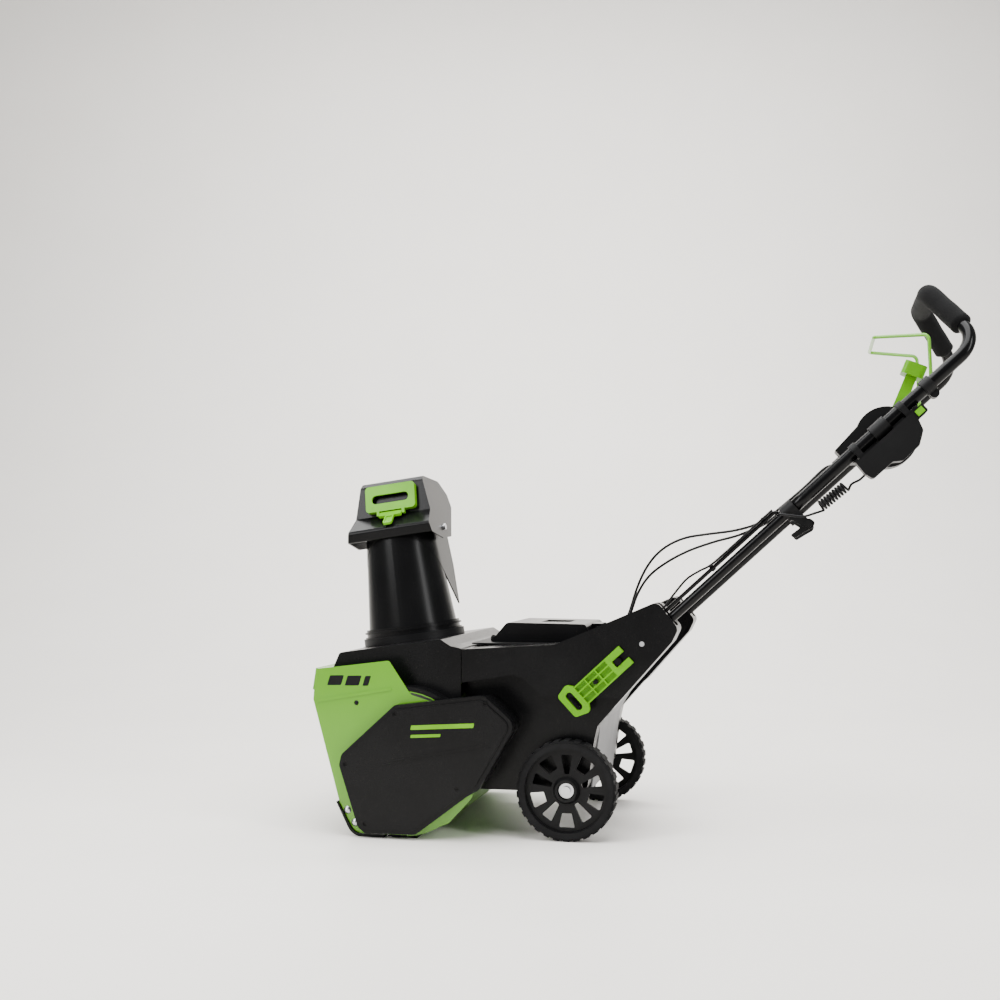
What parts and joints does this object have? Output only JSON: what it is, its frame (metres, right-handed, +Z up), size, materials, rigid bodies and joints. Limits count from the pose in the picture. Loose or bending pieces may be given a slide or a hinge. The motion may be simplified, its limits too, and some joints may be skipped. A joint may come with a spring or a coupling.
{
  "type": "snow blower",
  "caption": "Battery snow blower with a paddle auger, a turning chute with a tilting deflector, two wheels and a folding telescopic handle with a safety bail.",
  "frame": {"origin": "on the floor under the middle of the machine's bounding box", "axes": "+Z up; -Y towards the auger mouth, the way the machine is pushed; +X to the side that carries the belt cover"},
  "size_m": [0.6052, 1.3038, 1.1095],
  "materials": {
    "green_metal": "glossy yellow-green paint",
    "black_plastic": "finely textured black",
    "gloss_black": "glossy black",
    "green_plastic": "satin yellow-green",
    "black_paint": "glossy black powder coat",
    "steel": "bright zinc plate",
    "motor_metal": "cast grey",
    "tyre": "moulded rubber",
    "paddle_rubber": "fabric-reinforced rubber",
    "cord": "black cord sheath",
    "foam": "matt foam",
    "grey_plastic": "dark grey",
    "green_wire": "bright green powder coat"
  },
  "bodies": {
    "chassis": {"auger_housing": "green_metal", "left_side_plate": "green_metal", "right_side_plate": "green_metal", "scraper_bar": "black_plastic", "skid_shoes": "black_plastic", "steel_bolts": "steel", "belt_cover": "black_plastic", "right_side_cover": "black_plastic", "cover_screws": "black_paint", "front_shroud": "black_plastic", "left_side_shell": "black_plastic", "right_side_shell": "black_plastic", "battery_bay": "black_plastic", "belly_pan": "black_plastic", "rear_panel": "grey_plastic", "drive_motor": "motor_metal", "controller": "grey_plastic", "drive_belt": "paddle_rubber", "auger_bearings": "steel", "turret_base": "black_plastic", "wheel_axle": "steel", "front_chute_cable": "cord", "rear_chute_cable": "cord", "body_lead": "cord", "battery_pack": "black_plastic", "handle_pivots": "steel"},
    "motor_rotor": {"motor_pulley": "steel"},
    "auger": {"auger_shaft": "steel", "auger_pulley": "steel", "auger_core": "black_paint", "auger_paddles": "paddle_rubber"},
    "left_wheel_body": {"left_wheel": "black_plastic", "left_tyre": "tyre"},
    "right_wheel_body": {"right_wheel": "black_plastic", "right_tyre": "tyre"},
    "chute": {"chute_ring": "black_plastic", "chute_tube": "gloss_black", "chute_elbow": "gloss_black", "deflector_pins": "steel"},
    "deflector_body": {"deflector": "gloss_black", "deflector_grip": "green_plastic"},
    "trigger_body": {"deflector_trigger": "green_plastic"},
    "lid_body": {"battery_lid": "gloss_black"},
    "latch_body": {"lid_latch": "grey_plastic"},
    "lower_handle": {"left_lower_tube": "black_paint", "right_lower_tube": "black_paint", "stay_rod": "black_paint"},
    "upper_handle_body": {"upper_handle": "black_paint", "foam_grip": "foam", "tube_clamps": "black_plastic", "bail_lugs": "black_plastic", "control_housing": "black_plastic", "switch_box": "black_plastic", "coil_cord": "cord"},
    "left_clamp_body": {"left_clamp_lever": "black_plastic"},
    "right_clamp_body": {"right_clamp_lever": "black_plastic"},
    "bail_body": {"bail": "green_wire"},
    "chute_lever_body": {"chute_lever": "green_plastic"},
    "button_body": {"start_button": "green_plastic"},
    "tool_body": {"cleanout_tool": "green_plastic"}
  },
  "joints": [
    {"name": "auger_spin", "type": "hinge", "parent": "chassis", "child": "auger", "pos_m": [0, -0.4615, 0.15], "axis": [1, 0, 0], "continuous": true},
    {"name": "motor_spin", "type": "hinge", "parent": "chassis", "child": "motor_rotor", "pos_m": [0, -0.2715, 0.24], "axis": [1, 0, 0], "continuous": true},
    {"name": "left_wheel_spin", "type": "hinge", "parent": "chassis", "child": "left_wheel_body", "pos_m": [0.229, -0.1315, 0.1015], "axis": [1, 0, 0], "continuous": true},
    {"name": "right_wheel_spin", "type": "hinge", "parent": "chassis", "child": "right_wheel_body", "pos_m": [-0.229, -0.1315, 0.1015], "axis": [1, 0, 0], "continuous": true},
    {"name": "chute_turn", "type": "hinge", "parent": "chassis", "child": "chute", "pos_m": [0, -0.5215, 0.412], "axis": [0, -0.1392, 0.9903], "range_deg": [0, 180]},
    {"name": "deflector_tilt", "type": "hinge", "parent": "chute", "child": "deflector_body", "pos_m": [-0.02, -0.551, 0.62194], "axis": [0, -0.9903, -0.1392], "range_deg": [0, 40]},
    {"name": "trigger_pull", "type": "hinge", "parent": "deflector_body", "child": "trigger_body", "pos_m": [0.05237, -0.55689, 0.6638], "axis": [0, -0.9903, -0.1392], "range_deg": [0, 25], "stiffness_Nm_per_rad": 0.4, "springref_deg": -17.19},
    {"name": "lid_open", "type": "hinge", "parent": "chassis", "child": "lid_body", "pos_m": [0, -0.3235, 0.394], "axis": [1, 0, 0], "range_deg": [0, 95]},
    {"name": "latch_release", "type": "hinge", "parent": "lid_body", "child": "latch_body", "pos_m": [0, -0.1015, 0.417], "axis": [1, 0, 0], "range_deg": [0, 35], "stiffness_Nm_per_rad": 0.3, "springref_deg": -17.19},
    {"name": "handle_fold", "type": "hinge", "parent": "chassis", "child": "lower_handle", "pos_m": [0, 0.0185, 0.396], "axis": [1, 0, 0], "range_deg": [0, 78], "deforming": ["front_chute_cable", "rear_chute_cable", "body_lead"]},
    {"name": "handle_extend", "type": "slide", "parent": "lower_handle", "child": "upper_handle_body", "axis": [0, 0.7361, 0.6769], "range_m": [0, 0.15], "deforming": ["coil_cord"]},
    {"name": "left_clamp_release", "type": "hinge", "parent": "upper_handle_body", "child": "left_clamp_body", "pos_m": [0.206, 0.3391, 0.63239], "axis": [1, 0, 0], "range_deg": [0, 60]},
    {"name": "right_clamp_release", "type": "hinge", "parent": "upper_handle_body", "child": "right_clamp_body", "pos_m": [-0.206, 0.3391, 0.63239], "axis": [1, 0, 0], "range_deg": [0, 60]},
    {"name": "bail_squeeze", "type": "hinge", "parent": "upper_handle_body", "child": "bail_body", "pos_m": [0, 0.57386, 0.88087], "axis": [-1, 0, 0], "range_deg": [0, 40], "stiffness_Nm_per_rad": 1.2, "springref_deg": -28.65},
    {"name": "lever_swing", "type": "hinge", "parent": "upper_handle_body", "child": "chute_lever_body", "pos_m": [0.11, 0.48854, 0.80377], "axis": [1, 0, 0], "range_deg": [0, 90]},
    {"name": "button_press", "type": "slide", "parent": "upper_handle_body", "child": "button_body", "axis": [-1, 0, 0], "range_m": [0, 0.003], "stiffness_N_per_m": 250, "springref_m": -0.002},
    {"name": "tool_pull", "type": "slide", "parent": "chassis", "child": "tool_body", "axis": [1, 0, 0], "range_m": [0, 0.025]}
  ],
  "couplings": [
    {"joint": "motor_spin", "follows": "auger_spin", "ratio": 4},
    {"joint": "lever_swing", "follows": "chute_turn", "ratio": 0.5}
  ]
}
